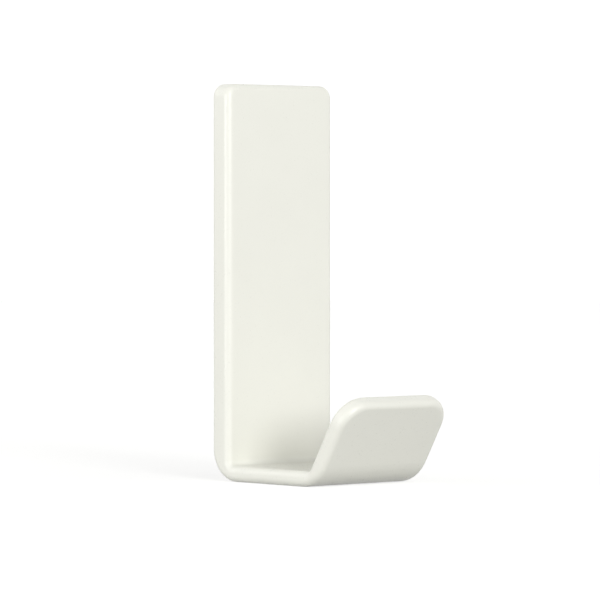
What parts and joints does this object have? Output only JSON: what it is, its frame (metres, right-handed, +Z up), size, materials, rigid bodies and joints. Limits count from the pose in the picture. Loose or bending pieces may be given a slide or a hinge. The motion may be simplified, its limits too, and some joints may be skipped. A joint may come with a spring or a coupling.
{
  "type": "magnetic hook",
  "caption": "Wall hook held on by a magnet: a tall back plate with a magnetic sheet let into its back, a short flat base and a lip that leans outwards and ends in rounded corners.",
  "frame": {"origin": "middle of the magnetic sheet's outer face, which meets the wall", "axes": "+Z up along the back plate, +Y into the wall, -Y out into the room, X across the hook"},
  "size_m": [0.025, 0.0358, 0.07],
  "materials": {
    "body": "satin, fine moulded texture",
    "magnet": "matt"
  },
  "bodies": {
    "root": {"hook_body": "body", "magnet_sheet": "magnet"}
  },
  "joints": []
}
